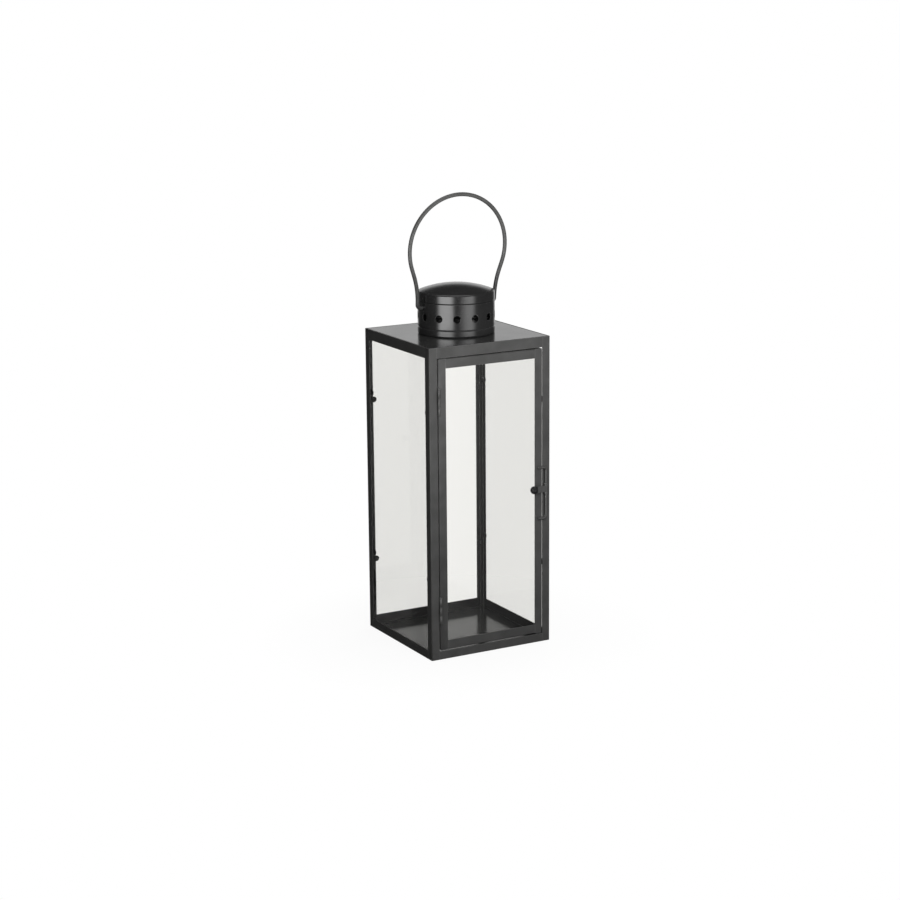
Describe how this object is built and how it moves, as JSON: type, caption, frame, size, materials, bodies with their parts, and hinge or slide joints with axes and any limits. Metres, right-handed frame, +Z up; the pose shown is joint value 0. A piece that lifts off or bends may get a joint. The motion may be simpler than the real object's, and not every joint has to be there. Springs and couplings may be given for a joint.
{
  "type": "candle lantern",
  "caption": "Square upright candle lantern of painted sheet steel with clear glass sides, a hinged glass door with a knob latch, a vented round chimney and a swinging wire handle.",
  "frame": {"origin": "middle of the floor plate's underside, on the plane that the lantern stands on", "axes": "+Z up through the chimney, -Y towards the door, +X towards the door's latch"},
  "size_m": [0.13, 0.1381, 0.4339],
  "materials": {
    "charcoal_paint": "satin charcoal paint",
    "smooth_paint": "smooth semi-gloss charcoal paint",
    "chimney_paint": "semi-gloss black paint",
    "wire_paint": "satin charcoal paint",
    "knob_paint": "black paint",
    "clear_glass": "clear float glass"
  },
  "bodies": {
    "frame": {"front_left_post": "charcoal_paint", "front_right_post": "charcoal_paint", "back_left_post": "charcoal_paint", "back_right_post": "charcoal_paint", "front_top_rail": "charcoal_paint", "front_bottom_rail": "charcoal_paint", "back_top_rail": "charcoal_paint", "back_bottom_rail": "charcoal_paint", "left_top_rail": "charcoal_paint", "left_bottom_rail": "charcoal_paint", "right_top_rail": "charcoal_paint", "right_bottom_rail": "charcoal_paint", "roof_pan": "smooth_paint", "floor_plate": "smooth_paint", "left_pane": "clear_glass", "right_pane": "clear_glass", "back_pane": "clear_glass", "left_pane_clips": "charcoal_paint", "right_pane_clips": "charcoal_paint", "back_pane_clips": "charcoal_paint", "upper_hinge_post_leaf": "wire_paint", "upper_hinge_pin": "wire_paint", "lower_hinge_post_leaf": "wire_paint", "lower_hinge_pin": "wire_paint", "chimney_wall": "chimney_paint", "chimney_cap": "chimney_paint"},
    "door": {"door_hinge_stile": "charcoal_paint", "door_latch_stile": "charcoal_paint", "door_top_rail": "charcoal_paint", "door_bottom_rail": "charcoal_paint", "door_pane": "clear_glass", "door_pane_clips": "charcoal_paint", "upper_hinge_door_leaf": "wire_paint", "lower_hinge_door_leaf": "wire_paint", "latch_staple": "wire_paint"},
    "latch": {"latch_lever": "wire_paint", "latch_knob": "knob_paint"},
    "handle": {"handle": "wire_paint"}
  },
  "joints": [
    {"name": "door_swing", "type": "hinge", "parent": "frame", "child": "door", "pos_m": [-0.0556, -0.0667, 0.149], "axis": [0, 0, -1], "range_deg": [0, 170]},
    {"name": "latch_swivel", "type": "hinge", "parent": "door", "child": "latch", "pos_m": [0.05922, -0.0676, 0.1534], "axis": [0, 0, 1], "range_deg": [0, 120]},
    {"name": "handle_swing", "type": "hinge", "parent": "frame", "child": "handle", "pos_m": [0, 0, 0.3265], "axis": [1, 0, 0], "range_deg": [-112.5, 103.5]}
  ]
}
